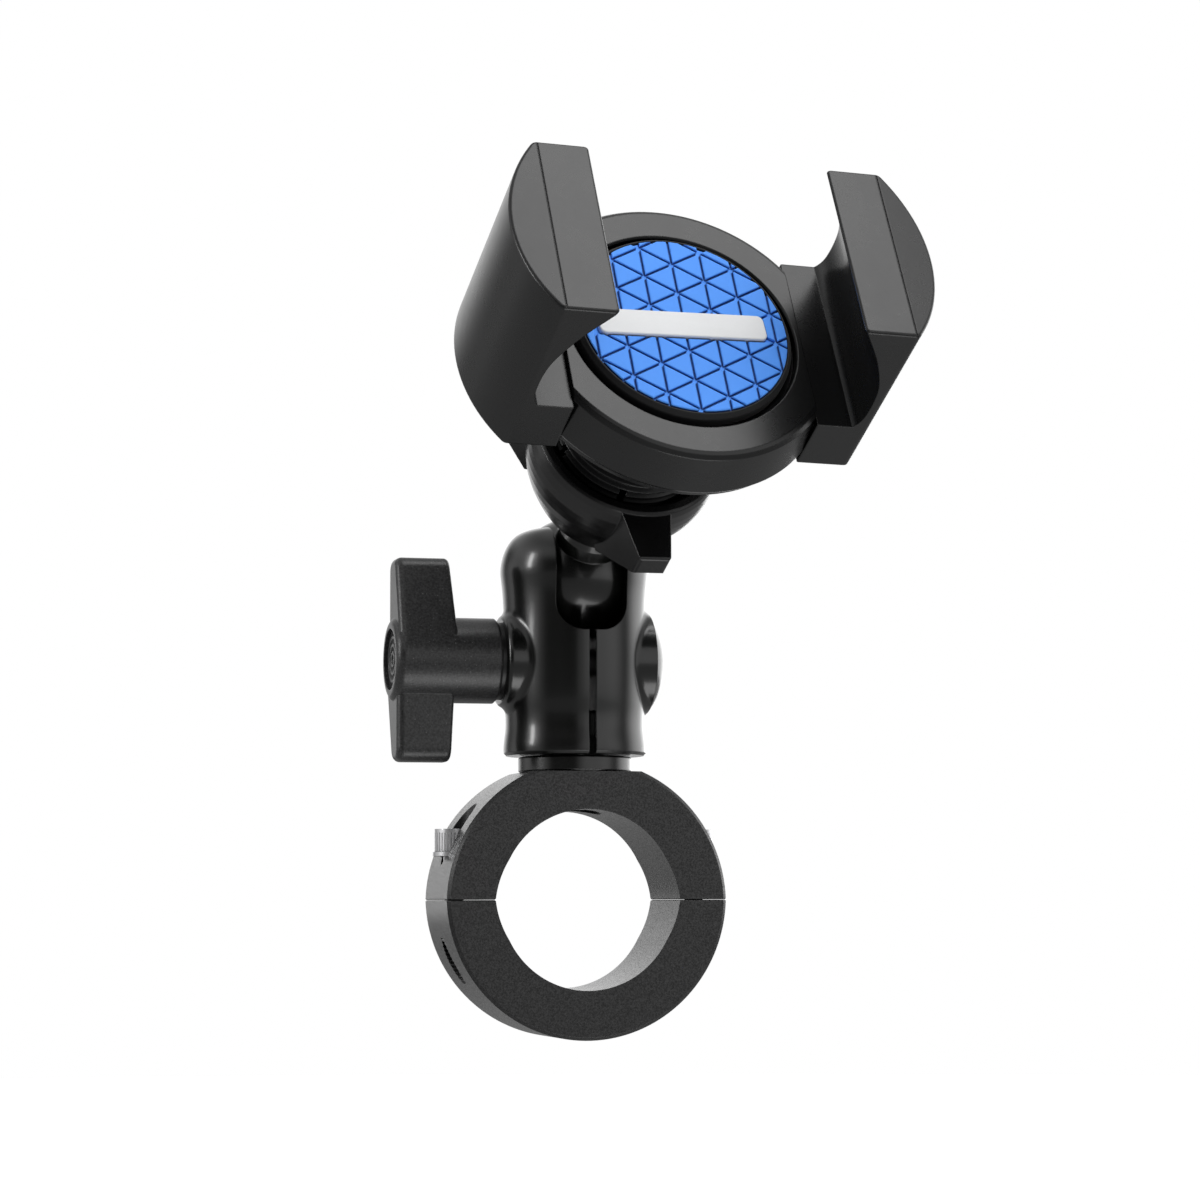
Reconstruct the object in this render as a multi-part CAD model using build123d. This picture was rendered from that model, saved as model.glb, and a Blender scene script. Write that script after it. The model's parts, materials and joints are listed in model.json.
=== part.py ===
from build123d import *
import os
from math import sin, cos, tan, pi, sqrt, radians, acos

# Handlebar phone mount: a split ring clamp, a swivel post, a two-shell arm with a side knob,
# a double ball stud, and a cradle whose two jaws are geared together. Millimetres.
# Origin at the centre of the handlebar bore. The bar runs along Y, +X is right and +Z is up
# through the arm. The cradle faces -Y (the front) and upwards.

os.makedirs("parts", exist_ok=True)

far = 80            # reaches past every part, for cutting and trimming blocks
run = 0.05          # running clearance


# --- helpers ---------------------------------------------------------------
def save(shape, name):
    shape.label = name
    export_step(shape, f"parts/{name}.step")


def cyl(radius, bottom, top, x=0.0, y=0.0):
    return Pos(x, y, (bottom + top) / 2) * Cylinder(radius, top - bottom)


def block(x_min, x_max, y_min, y_max, z_min, z_max):
    centre = Pos((x_min + x_max) / 2, (y_min + y_max) / 2, (z_min + z_max) / 2)
    return centre * Box(x_max - x_min, y_max - y_min, z_max - z_min)


def polygon(points):
    return make_face(Polyline(*points, close=True))


def hexagon(across_flats, rotation=0):
    return RegularPolygon(across_flats / sqrt(3), 6, rotation=rotation)


def lathe(points):
    """Solid of revolution about Z from (radius, z) points."""
    return revolve(polygon([(radius, 0, z) for radius, z in points]), Axis.Z, 360)


def ridges(crest, root, bottom, top, pitch):
    """(radius, z) points up a shaft that has ring-shaped thread crests."""
    points = []
    for i in range(int((top - bottom) / pitch)):
        z = bottom + i * pitch
        points += [(root, z + 0.10 * pitch), (crest, z + 0.45 * pitch),
                   (crest, z + 0.60 * pitch), (root, z + 0.95 * pitch)]
    return points


def largest(shape):
    return shape.solids().sort_by(SortBy.VOLUME)[-1]


def try_fillet(shape, edges, radius):
    """Fillet, stepping the radius down if the kernel fails; unchanged if none works."""
    for scale in (1.0, 0.7, 0.45, 0.25):
        try:
            result = fillet(edges, radius * scale)
            if result.is_valid:
                return result
        except Exception:
            pass
    return shape


# --- handlebar clamp -------------------------------------------------------
bar_r = 15.9              # 31.8 mm handlebar
ring_r = 25.32            # outside of each half
ring_off = 0.72           # each half's outside is struck from this far past the split
ring_w = 19.56            # along the handlebar
ring_edge_c = 0.6
ring_flat_z = 22.6        # flat on the crown that carries the post
ring_gap = 0.06           # hairline between the halves
ring_split_c = 0.18       # broken edges along the split
relief_r = 16.8           # the bore is eased towards the split by a wider arc
relief_off = 1.85         # struck from this far past the split

screw_x = 22.0            # clamp screw axes, left and right
screw_clear_r = 2.35      # clearance hole in the upper half
screw_cbore_r = 4.0       # counterbore that breaks out of the ring's side
screw_seat_z = 7.7        # floor of the counterbore
washer_t = 0.75
washer_r, washer_hole_r = 3.8, 2.2
screw_head_r = 3.5        # M4 socket head
screw_head_h = 4.05
screw_head_z = screw_seat_z + washer_t
screw_shank_r = 1.95
screw_len = 16.0
screw_pitch = 0.7
socket_af = 3.0           # hexagon socket of the clamp and post screws
socket_depth = 2.4
knurl_count = 36
knurl_size = 0.26
thread_r = 2.0            # minor radius of the tapped hole
thread_depth = 15.6       # tapped hole bottom, below the split

spigot_r = 5.0            # foot of the post, let into the ring's crown
post_screw_r = 2.45
post_screw_head_r = 4.5
post_screw_bottom = 16.2
post_screw_seat_z = 18.6


def half_ring(sign):
    """Upper (+1) or lower (-1) half of the ring."""
    ring = Rot(90, 0, 0) * Cylinder(ring_r, ring_w)
    ring = chamfer(ring.edges().filter_by(GeomType.CIRCLE), ring_edge_c)
    ring = Pos(0, 0, -sign * ring_off) * ring
    ring -= Rot(90, 0, 0) * Cylinder(bar_r, ring_w + 2)
    ring -= Pos(0, 0, -sign * relief_off) * Rot(90, 0, 0) * Cylinder(relief_r, ring_w + 2)
    z_min, z_max = (ring_gap / 2, far) if sign > 0 else (-far, -ring_gap / 2)
    half = ring & block(-far, far, -far, far, z_min, z_max)
    split_edges = [e for e in half.edges() if abs(e.center().Z - sign * ring_gap / 2) < 1e-3]
    return chamfer(split_edges, ring_split_c)


def clamp_upper():
    upper = half_ring(1)
    upper -= block(-far, far, -far, far, ring_flat_z, far)
    for x in (-screw_x, screw_x):
        upper -= cyl(screw_clear_r, -1, screw_seat_z + 1, x)
        upper -= cyl(screw_cbore_r, screw_seat_z, 26, x)
    # seat for the post, then its screw hole and counterbore from inside the bore
    upper -= cyl(spigot_r + run, 20.2, 30)
    upper -= cyl(2.7, 10, 30)
    upper -= cyl(4.8, 10, post_screw_seat_z)
    return upper


def clamp_lower():
    lower = half_ring(-1)
    mouth_r = thread_r + 0.45
    hole = lathe([(0, -thread_depth), (thread_r, -thread_depth)]
                 + ridges(thread_r + 0.28, thread_r, 0.1 - thread_depth, -0.6, screw_pitch)
                 + [(thread_r, -0.5), (mouth_r, 0), (mouth_r, 1), (0, 1)])
    for x in (-screw_x, screw_x):
        lower -= Pos(x, 0, 0) * hole
    return lower


def clamp_screw(x):
    head_top = screw_head_z + screw_head_h
    head = cyl(screw_head_r, screw_head_z, head_top)
    knurl = None
    knurl_r = screw_head_r + 0.09
    for i in range(knurl_count):
        angle = 2 * pi * i / knurl_count
        centre = Pos(knurl_r * cos(angle), knurl_r * sin(angle),
                     screw_head_z + screw_head_h / 2 - 0.25)
        notch = (centre * Rot(0, 0, 360 * i / knurl_count + 45)
                 * Box(knurl_size, knurl_size, screw_head_h - 0.9))
        knurl = notch if knurl is None else knurl + notch
    head = head - knurl
    head = head - extrude(Plane.XY.offset(head_top - socket_depth) * hexagon(socket_af), 5)
    tip = screw_head_z - screw_len
    shank = lathe([(0, tip), (screw_shank_r - 0.45, tip)]
                  + ridges(screw_shank_r, screw_shank_r - 0.35,
                           tip + 0.45, screw_head_z - 5.2, screw_pitch)
                  + [(screw_shank_r, screw_head_z - 4.6),
                     (screw_shank_r, screw_head_z + 0.5), (0, screw_head_z + 0.5)])
    return Pos(x, 0, 0) * (head + shank)


def lock_washer(x):
    """Washer split at one side."""
    washer = cyl(washer_r, screw_seat_z, screw_head_z) - cyl(washer_hole_r, 0, 20)
    washer -= Rot(0, 0, 35) * block(0, 5, -0.25, 0.25, 0, 20)
    return Pos(x, 0, 0) * washer


save(clamp_upper(), "clamp_upper")
save(clamp_lower(), "clamp_lower")
save(clamp_screw(-screw_x), "clamp_screw_left")
save(clamp_screw(screw_x), "clamp_screw_right")
save(Compound(children=[lock_washer(x) for x in (-screw_x, screw_x)]), "clamp_lock_washers")

# --- post: fixed to the ring's crown, the arm turns on its neck --------------
collar_r = 10.15
collar_top = 25.4
post_neck_r = 6.0
post_head_r = 8.5
post_head_bottom, post_head_top = 29.0, 33.4


def swivel_post():
    post = lathe([(0, 20.3), (spigot_r - 0.3, 20.3), (spigot_r, 20.6), (spigot_r, ring_flat_z),
                  (collar_r - 0.3, ring_flat_z), (collar_r, ring_flat_z + 0.3),
                  (collar_r, collar_top - 0.3), (collar_r - 0.3, collar_top),
                  (post_neck_r, collar_top), (post_neck_r, post_head_bottom),
                  (post_head_r, post_head_bottom), (post_head_r, post_head_top - 0.6),
                  (post_head_r - 0.6, post_head_top), (0, post_head_top)])
    return post - cyl(post_screw_r + run, 20, 31)


def post_screw():
    screw = (cyl(post_screw_head_r, post_screw_bottom, post_screw_seat_z)
             + cyl(post_screw_r, post_screw_seat_z - 0.1, 30))
    return screw - extrude(Plane.XY.offset(post_screw_bottom - 0.2) * hexagon(socket_af), 2.0)


save(swivel_post(), "swivel_post")
save(post_screw(), "post_screw")

# --- arm: two shells around the post head and the lower ball -----------------
arm_bottom, arm_top = 25.6, 66.3
slit_left, slit_right = -0.5, 0.7       # x of the shells' facing sides
ball_z = 57.5
ball_r = 11.0
notch_left, notch_right = -6.2, 6.8
notch_z = 47.4
notch_r = 5.0
bolt_z = 42.4
bolt_r = 2.5              # M5
bolt_af = 8.0
nut_x = 3.3               # inner face of the trapped nut
nut_h = 4.0
seat_x = -13.9            # flat of the left boss, under the thrust washer
boss_r = 8.3
boss_blend_r = 2.0        # fillet where each boss leaves the column
# right boss: part of a sphere about dome_x0 on the bolt axis, cut to a foot radius
dome_x0, dome_r, dome_foot_r = 1.8, 14.5, 9.3
dome_edge_x = dome_x0 + sqrt(dome_r ** 2 - dome_foot_r ** 2)

# (radius, z) up the outside of the column; the first segment is straight, the rest a spline
arm_profile = [
    (12.3, arm_bottom), (12.75, arm_bottom + 0.5), (12.7, 28.0), (12.45, 30.0), (12.4, 32.0),
    (12.6, 35.0), (12.8, 40.0), (12.85, 45.0), (12.8, 50.0), (12.9, 53.7), (13.15, 56.4),
    (13.35, 58.5), (13.05, 60.9), (12.15, 63.2), (10.7, 64.95), (8.6, 65.95), (6.6, arm_top),
]


def along_bolt(shape, x=0.0):
    """Turn a shape's Z onto the bolt axis (+X), with its origin at x."""
    return Pos(x, 0, bolt_z) * Rot(0, 90, 0) * shape


def bolt_cyl(radius, x_min, x_max):
    return along_bolt(cyl(radius, x_min, x_max))


def arm_column():
    side = [Vector(radius, 0, z) for radius, z in arm_profile]
    curve = Spline(*side[1:])
    axis_low, axis_high = Vector(0, 0, arm_bottom), Vector(0, 0, arm_top)
    face = make_face([Line(axis_low, side[0]), Line(side[0], side[1]), curve,
                      Line(side[-1], axis_high), Line(axis_high, axis_low)])
    return revolve(face, Axis.Z, 360)


def nut_dome():
    """Right boss, a domed bulge over the trapped nut."""
    foot, rim = (dome_foot_r, 0, 4), (dome_foot_r, 0, dome_edge_x)
    middle = (dome_foot_r / 2, 0, dome_x0 + sqrt(dome_r ** 2 - dome_foot_r ** 2 / 4))
    crown = (0, 0, dome_x0 + dome_r)
    face = make_face([Line((0, 0, 4), foot), Line(foot, rim),
                      ThreePointArc(rim, middle, crown), Line(crown, (0, 0, 4))])
    return along_bolt(revolve(face, Axis.Z, 360))


def washer_boss():
    """Left boss, the flat seat for the thrust washer."""
    boss = bolt_cyl(boss_r, seat_x, -4)
    return fillet(boss.edges().filter_by(GeomType.CIRCLE).sort_by(Axis.X)[0], 0.9)


def near_ring(edge, radius, x_limit, tolerance=0.12):
    """Does the edge run round the bolt axis at this radius, short of the boss's face?"""
    for fraction in (0.0, 0.25, 0.5, 0.75):
        point = edge @ fraction
        off_axis = sqrt(point.Y ** 2 + (point.Z - bolt_z) ** 2)
        if abs(off_axis - radius) > tolerance or abs(point.X) > x_limit:
            return False
    return True


def whole_arm():
    arm = arm_column() + washer_boss()
    arm = try_fillet(arm, [e for e in arm.edges()
                           if near_ring(e, boss_r, abs(seat_x) - 1.0) and e.center().X < 0],
                     boss_blend_r)
    arm = arm + nut_dome()
    arm = try_fillet(arm, [e for e in arm.edges()
                           if near_ring(e, dome_foot_r, dome_edge_x - 0.1) and e.center().X > 0],
                     boss_blend_r)
    # hollows for the ball, the post and the bolt
    arm = arm - (Pos(0, 0, ball_z) * Sphere(ball_r + run))
    arm -= cyl(post_neck_r + run, 20, post_head_bottom + 0.5)
    arm -= cyl(post_head_r + run, post_head_bottom - 0.1, post_head_top + 0.1)
    arm -= bolt_cyl(bolt_r + run, -20, 13.6)
    # the stem's notch: down the front, and over the top
    notch = Plane.XZ * (Pos((notch_left + notch_right) / 2, (notch_z + far) / 2)
                        * RectangleRounded(notch_right - notch_left, far - notch_z, notch_r))
    arm -= extrude(notch, 30)
    arm -= block(notch_left, notch_right, -1, 7.0, ball_z, far)
    return arm


def soften(shell, slit_x):
    """Round the shell's long front edges along the slit."""
    edges = [e for e in shell.edges()
             if abs(e.center().X - slit_x) < 0.02 and e.center().Y < -9 and e.length > 4]
    return try_fillet(shell, edges, 0.5)


def arm_shells():
    arm = whole_arm()
    left = arm & block(-far, slit_left, -far, far, 0, far)
    right = arm & block(slit_right, far, -far, far, 0, far)
    nut_pocket = extrude(hexagon(bolt_af + 0.1, rotation=30), nut_x + nut_h + 0.2 - slit_right)
    right -= along_bolt(nut_pocket, slit_right - 0.1)
    return soften(largest(left), slit_left), soften(largest(right), slit_right)


def arm_nut():
    nut = extrude(hexagon(bolt_af, rotation=30), nut_h)
    return along_bolt(nut - Pos(0, 0, 2.5) * Cylinder(bolt_r + run, 8), nut_x)


arm_left, arm_right = arm_shells()
save(arm_left, "arm_shell_left")
save(arm_right, "arm_shell_right")
save(arm_nut(), "arm_nut")

# --- knob on the arm's clamp bolt, axis along X ------------------------------
washer_x = seat_x - 0.8   # outer face of the thrust washer
thrust_r = 6.9
hub_r = 7.6
hub_x = -33.75            # outer end of the hub
wing_x = -33.1            # outer face of the wings
wing_t = 10.6
wing_len = 18.15          # from the bolt axis to a wing's tip
cap_r = 5.45
cap_bottom_x = -31.9
cap_face_x = -32.95
cap_ring_x = -33.25       # top of the cap's raised rings
bolt_head_x = -31.8
bolt_head_h = 3.6
bolt_end_x = 13.0

# (y, z - bolt_z) round both wings
wing_outline = [
    (-7.23, 2.33), (-2.1, wing_len), (4.3, wing_len), (4.3, 4.0), (4.3, 0.0),
    (7.23, -2.33), (2.1, -wing_len), (-4.3, -wing_len), (-4.3, -4.0), (-4.3, 0.0),
]


def knob_wings():
    outline = polygon(wing_outline)
    outline = fillet([v for v in outline.vertices() if abs(v.Y) > wing_len - 0.1], 2.4)
    sketch_plane = Plane(origin=(wing_x, 0, bolt_z), x_dir=(0, 1, 0), z_dir=(1, 0, 0))
    wings = extrude(sketch_plane * outline, wing_t)
    # inner faces lean outwards towards the tips
    for s in (1, -1):
        lean = polygon([(-22.7, s * 4), (-23.45, s * 19), (-15, s * 19), (-15, s * 4)])
        wings -= Pos(0, 0, bolt_z) * extrude(Plane.XZ * lean, 20, both=True)
    # either rounding may fail in the kernel; the edges then stay sharp
    try:
        wings = fillet([e for e in wings.edges() if e.center().X < wing_x + 0.1], 1.3)
    except Exception:
        pass
    try:
        wings = fillet([e for e in wings.edges()
                        if e.center().X > -24 and abs(e.center().Z - bolt_z) > 16], 0.9)
    except Exception:
        pass
    return wings


def knob():
    hub = bolt_cyl(hub_r, hub_x, washer_x)
    hub = fillet(hub.edges().filter_by(GeomType.CIRCLE).sort_by(Axis.X)[0], 1.6)
    hub = chamfer(hub.edges().filter_by(GeomType.CIRCLE).sort_by(Axis.X)[-1], 0.5)
    body = knob_wings() + hub
    # pockets for the cap and the bolt head, then the bolt hole
    body -= bolt_cyl(cap_r, -36, cap_bottom_x)
    body -= along_bolt(extrude(hexagon(bolt_af), bolt_head_h + 0.2), bolt_head_x - 0.2)
    body -= bolt_cyl(bolt_r, -30, -10)
    return largest(body)


def knob_cap():
    """Disc with three raised rings on its outer face."""
    points = [(0, cap_face_x)]
    for i in range(3):
        start = 0.8 + 1.35 * i
        points += [(start, cap_face_x), (start + 0.15, cap_ring_x),
                   (start + 0.65, cap_ring_x), (start + 0.8, cap_face_x)]
    rim_r = cap_r - 0.02
    points += [(5.0, cap_face_x), (rim_r, -33.1), (rim_r, cap_bottom_x), (0, cap_bottom_x)]
    return along_bolt(lathe(points))


def clamp_bolt():
    head = along_bolt(extrude(hexagon(bolt_af - 0.02), bolt_head_h), bolt_head_x)
    return head + bolt_cyl(bolt_r, bolt_head_x + bolt_head_h - 0.2, bolt_end_x)


save(bolt_cyl(thrust_r, washer_x, seat_x) - bolt_cyl(bolt_r + 0.1, -30, 0), "thrust_washer")
save(knob(), "knob")
save(knob_cap(), "knob_cap")
save(clamp_bolt(), "clamp_bolt")

# --- cradle frame ------------------------------------------------------------
# u across the phone, v along the phone, w out of the phone rest.
u_dir = Vector(0.9970, 0.0751, -0.0197)
w_dir = Vector(0.0750, -0.8656, 0.4951)
head_origin = Vector(0, 0, 62.68) + w_dir * 61.7    # middle of the jaw bases' front plane
head_plane = Plane(origin=head_origin, x_dir=u_dir, z_dir=w_dir)
socket_w = -40.0                                    # cradle ball centre
socket_r = 8.0


def place(shape):
    """Move a shape modelled with x, y, z = u, v, w into the mount's frame."""
    return head_plane.location * shape


# --- double-ended ball stud --------------------------------------------------
stem_r, stem_thin_r = 5.85, 4.2


def ball_stud():
    arm_ball = Vector(0, 0, ball_z)
    socket_ball = head_origin + w_dir * socket_w
    span = socket_ball - arm_ball
    axis = span.normalized()
    stem = lathe([(0, 0), (stem_r, 0), (stem_r, 11.9), (5.2, 13.5), (stem_thin_r, 16.4),
                  (stem_thin_r, span.length), (0, span.length)])
    right = Vector(1, 0, 0) - axis * axis.dot(Vector(1, 0, 0))
    stem = Plane(origin=arm_ball, x_dir=right.normalized(), z_dir=axis).location * stem
    return stem + Pos(*arm_ball) * Sphere(ball_r) + Pos(*socket_ball) * Sphere(socket_r)


save(ball_stud(), "ball_stud")

# --- cradle housing ----------------------------------------------------------
flat_u = 21.1             # flats the jaws close against
body_r_front = 26.3
body_r_rear = 27.2
bezel_w = 1.1
wall_w = -8.2
lip_r = 19.95
back_w = -10.2            # rear plane of the back plate and the jaw bases
neck_r = 13.0
neck_root_r = neck_r - 0.7
neck_pitch = 1.5
axle_r = 2.0
plate_w = -8.0            # front face of the back plate
root_w = plate_w - 0.2    # features on the plate start this deep in it
gear_rear, gear_front = -6.8, -3.4      # w of the pinion, racks and guide bars
screw_spots = [(x, y) for x in (-9.5, 9.5) for y in (-19.3, 19.3)]
screw_seat_w = -9.1       # under the housing screws' heads
housing_shank_r = 1.2


def rear_shell():
    """Back plate and split collet neck, with the pinion axle and two ribs."""
    neck_thread = ridges(neck_r, neck_root_r, -35.2, -20.1, neck_pitch)
    shell = lathe([(0, plate_w), (25.6, plate_w), (26.3, -8.6), (26.1, -9.5), (25.4, back_w),
                   (18.0, back_w), (15.5, -13.0), (neck_r + 0.4, -16.0), (neck_root_r, -17.0),
                   (neck_root_r, -20.0)]
                  + neck_thread[::-1]
                  + [(neck_root_r, -36.0), (12.5, -36.9), (11.15, -41.0), (8.9, -45.0),
                     (8.5, -46.0), (0, -46.0)])
    shell -= block(flat_u - 0.04, far, -far, far, -far, far)
    shell -= block(-far, -flat_u + 0.04, -far, far, -far, far)
    bore = cyl(socket_r + run, socket_w, -14.0) + Pos(0, 0, socket_w) * Sphere(socket_r + run)
    bore += lathe([(0, -43.4), (7.35, -43.4), (7.8, -46.5), (0, -46.5)])
    shell -= bore
    # three slots across the neck part it into six fingers
    for i in range(3):
        shell -= Rot(0, 0, 60 * i + 15) * block(-30, 30, -0.6, 0.6, -50, -27)
    shell += cyl(axle_r, root_w, -1.75)
    shell += cyl(3.2, root_w, -7.45)
    # low ribs behind the racks' backs
    for y in (-9.75, 9.75):
        shell += block(-16, 16, y - 0.35, y + 0.35, root_w, -6.0)
    for x, y in screw_spots:
        shell -= cyl(1.6, -12, -7, x, y)
        shell -= cyl(2.7, -12, screw_seat_w, x, y)
    return shell


def front_shell():
    """Side wall, bezel and the floor under the pad."""
    shell = lathe([(0, -1.6), (24.9, -1.6), (25.0, -7.9), (26.9, -7.9),
                   (body_r_rear, wall_w + 0.9), (body_r_front + 0.1, 0.2),
                   (body_r_front - 0.5, 0.85), (body_r_front - 1.1, bezel_w),
                   (lip_r + 0.35, bezel_w), (lip_r, bezel_w - 0.35), (lip_r, -0.5), (0, -0.5)])
    shell -= block(flat_u, far, -far, far, -far, far)
    shell -= block(-far, -flat_u, -far, far, -far, far)
    # flat end walls inside the cut sides
    for turn in (0, 180):
        shell += Rot(0, 0, turn) * block(flat_u - 1.7, flat_u, -16.5, 16.5, -7.9, -1.0)
    # windows in each end wall for that side's rack and guide bar
    window_rear, window_front = gear_rear - 0.1, gear_front + 0.1
    for turn in (0, 180):
        shell -= Rot(0, 0, turn) * block(17.5, far, 4.6, 9.7, window_rear, window_front)
        shell -= Rot(0, 0, turn) * block(17.5, far, -14.1, -10.9, window_rear, window_front)
    # screw bosses
    for x, y in screw_spots:
        shell += cyl(2.9, -7.95, -1.2, x, y)
        shell -= cyl(housing_shank_r, -9, -2.2, x, y)
    return shell


def housing_screw(x, y):
    """Cross-slotted screw."""
    screw = (cyl(2.5, -10.15, screw_seat_w, x, y)
             + cyl(housing_shank_r, screw_seat_w - 0.1, -2.5, x, y))
    screw -= Pos(x, y, -10.2) * Box(3.4, 0.55, 1.1)
    screw -= Pos(x, y, -10.2) * Box(0.55, 3.4, 1.1)
    return screw


save(place(rear_shell()), "rear_shell")
save(place(front_shell()), "front_shell")
save(Compound(children=[place(housing_screw(x, y)) for x, y in screw_spots]), "housing_screws")

# --- pinion and return spring ------------------------------------------------
gear_module = 0.9
pinion_teeth = 12
pitch_r = gear_module * pinion_teeth / 2
addendum = 0.70 * gear_module
pressure_angle = radians(20)
backlash = 0.16
flank_steps = 7
spring_turns = 4.5
spring_steps = 150
spring_r_in, spring_r_out = 2.75, 8.6
spring_half_t = 0.2


def involute(angle):
    return tan(angle) - angle


def pinion_outline():
    tip_r = pitch_r + addendum
    root_r = pitch_r - 1.05 * gear_module
    base_r = pitch_r * cos(pressure_angle)
    # half the tooth's angle at the base circle
    half = pi / (2 * pinion_teeth) - backlash / (2 * pitch_r) + involute(pressure_angle)
    start_r = max(base_r, root_r)
    flank = []
    for i in range(flank_steps + 1):
        radius = start_r + (tip_r - start_r) * i / flank_steps
        roll = acos(base_r / radius) if radius > base_r else 0.0
        flank.append((radius, half - involute(roll)))
    # one tooth as (radius, angle from its centre line)
    tooth = ([(root_r, -half - 0.03)] + [(radius, -angle) for radius, angle in flank]
             + flank[::-1] + [(root_r, half + 0.03)])
    points = []
    for i in range(pinion_teeth):
        centre = 2 * pi * i / pinion_teeth + pi / 2
        points += [(radius * cos(centre + angle), radius * sin(centre + angle))
                   for radius, angle in tooth]
    return polygon(points)


def pinion():
    gear = extrude(Plane.XY.offset(gear_rear) * pinion_outline(), gear_front - gear_rear)
    gear += cyl(3.6, -7.4, -6.7)
    gear += cyl(2.9, -3.5, -3.0)
    return gear - cyl(axle_r + run, -10, 0)


def return_spring():
    """Flat spiral round the axle, in front of the pinion."""
    inner, outer = [], []
    for i in range(spring_steps + 1):
        fraction = i / spring_steps
        angle = 2 * pi * spring_turns * fraction
        radius = spring_r_in + (spring_r_out - spring_r_in) * fraction
        for points, r in ((inner, radius - spring_half_t), (outer, radius + spring_half_t)):
            points.append((r * cos(angle), r * sin(angle)))
    return extrude(Plane.XY.offset(-2.9) * polygon(inner + outer[::-1]), 1.1)


save(place(pinion()), "pinion")
save(place(return_spring()), "return_spring")

# --- jaws --------------------------------------------------------------------
jaw_half = 17.32          # half the length along v
jaw_top_w = 24.17
jaw_in_u = 21.16          # inner face of the base
jaw_tip_u = 20.73
jaw_out_u = 30.1          # outer corners
jaw_arc_u = 36.1          # crown of the outer arc
crease_u = 29.5
rack_in_u = -15.0         # inner end of the rack tongue
tongue_out_u = jaw_in_u + 2.2

# (u, w) up the inside of the channel that grips the phone's edge
hook_curve = [
    (27.35, 0.0), (28.2, 1.35), (28.62, 3.7), (28.6, 6.8), (28.2, 9.9), (27.3, 12.7),
    (26.1, 15.4), (24.45, 18.5), (22.8, 21.1), (jaw_tip_u + 0.25, jaw_top_w - 0.35),
]


def jaw_body():
    arc = ThreePointArc((jaw_out_u, -jaw_half), (jaw_arc_u, 0), (jaw_out_u, jaw_half))
    plan = make_face(Wire([Line((jaw_tip_u, jaw_half), (jaw_tip_u, -jaw_half)),
                           Line((jaw_tip_u, -jaw_half), (jaw_out_u, -jaw_half)), arc,
                           Line((jaw_out_u, jaw_half), (jaw_tip_u, jaw_half))]))
    plan = fillet([v for v in plan.vertices() if v.X > 25], 1.2)
    plan = fillet([v for v in plan.vertices() if v.X < 25], 0.8)
    body = extrude(Plane.XY.offset(back_w) * plan, jaw_top_w - back_w)
    # channel, drawn in (u, w) and swept along v
    start, end = hook_curve[0], hook_curve[-1]
    channel = make_face(Wire([Line((10, 0.0), start), Spline(*hook_curve),
                              Line(end, (10, end[1])), Line((10, end[1]), (10, 0.0))]))
    body -= extrude(Rot(90, 0, 0) * channel, far, both=True)
    body -= block(0, jaw_in_u, -far, far, -far, 0.001)
    # the top face slopes down outside the crease
    slope = polygon([(crease_u, jaw_top_w), (40, jaw_top_w - 0.95),
                     (40, jaw_top_w + 5), (crease_u, jaw_top_w + 5)])
    body -= extrude(Rot(90, 0, 0) * slope, 40, both=True)
    top_edges = [e for e in body.edges()
                 if e.center().Z > jaw_top_w - 0.6 and e.center().X > jaw_tip_u + 0.6
                 and abs(e.center().Y) > 1 and not abs(e.center().X - crease_u) < 0.05]
    body = try_fillet(body, top_edges, 0.5)
    return body - block(crease_u - 0.12, crease_u + 0.12, -far, far,
                        jaw_top_w - 0.16, jaw_top_w + 2)


def rack():
    root_y = pitch_r + 1.02 * gear_module
    tip_y = pitch_r - addendum
    pitch = pi * gear_module
    half_pitch_line = pitch / 4 - 0.04
    half_tip = half_pitch_line - tan(pressure_angle) * (pitch_r - tip_y)
    half_root = half_pitch_line + tan(pressure_angle) * (root_y - pitch_r)
    bar = block(rack_in_u, tongue_out_u, root_y, 9.3, gear_rear, gear_front)
    for i in range(-5, 6):
        x = (i + 0.5) * pitch
        tooth = polygon([(x - half_root, root_y + 0.1), (x - half_tip, tip_y),
                         (x + half_tip, tip_y), (x + half_root, root_y + 0.1)])
        bar += extrude(Plane.XY.offset(gear_rear) * tooth, gear_front - gear_rear)
    return bar


guide_bar = block(2.0, tongue_out_u, -14.0, -11.0, gear_rear, gear_front)
jaw = jaw_body() + rack() + guide_bar
save(place(jaw), "jaw_right")
save(place(Rot(0, 0, 180) * jaw), "jaw_left")

# --- friction cup and tightening ring ----------------------------------------
cup_r = socket_r - 0.05
ring_front_w, ring_rear_w = -28.0, -47.5

# (radius, w) down the ring's outside, then back up its inside
ring_outside = [
    (14.9, ring_front_w), (16.1, ring_front_w), (16.6, -28.4), (16.85, -29.6), (16.95, -31.5),
    (16.9, -33.2), (16.7, -34.8), (16.3, -36.6), (15.6, -38.6), (14.6, -40.7), (13.5, -42.6),
    (12.3, -44.5), (11.1, -46.2), (10.3, -47.1), (9.7, ring_rear_w),
]
ring_inside = [
    (8.6, ring_rear_w), (8.6, -46.6), (9.15, -45.2), (11.4, -41.1), (12.75, -37.1),
    (13.06, -36.4), (13.06, -30.4),
]
# grip tab: (radius, w) section, and (radius, half width) along it
tab_section = [(12.5, -28.3), (25.2, -29.0), (25.2, -33.1), (14.2, -42.0), (12.5, -41.0)]
tab_widths = [(10, 5.6), (15.2, 4.6), (25.4, 2.75)]


def friction_cup():
    """Plug hollowed to bear on the cradle ball inside the collet."""
    cup = cyl(cup_r, -36.5, -28.0)
    cup -= Pos(0, 0, socket_w) * Sphere(socket_r + run)
    cup = cup & cyl(cup_r, -36.0, -28.0)
    return largest(cup)


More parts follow.
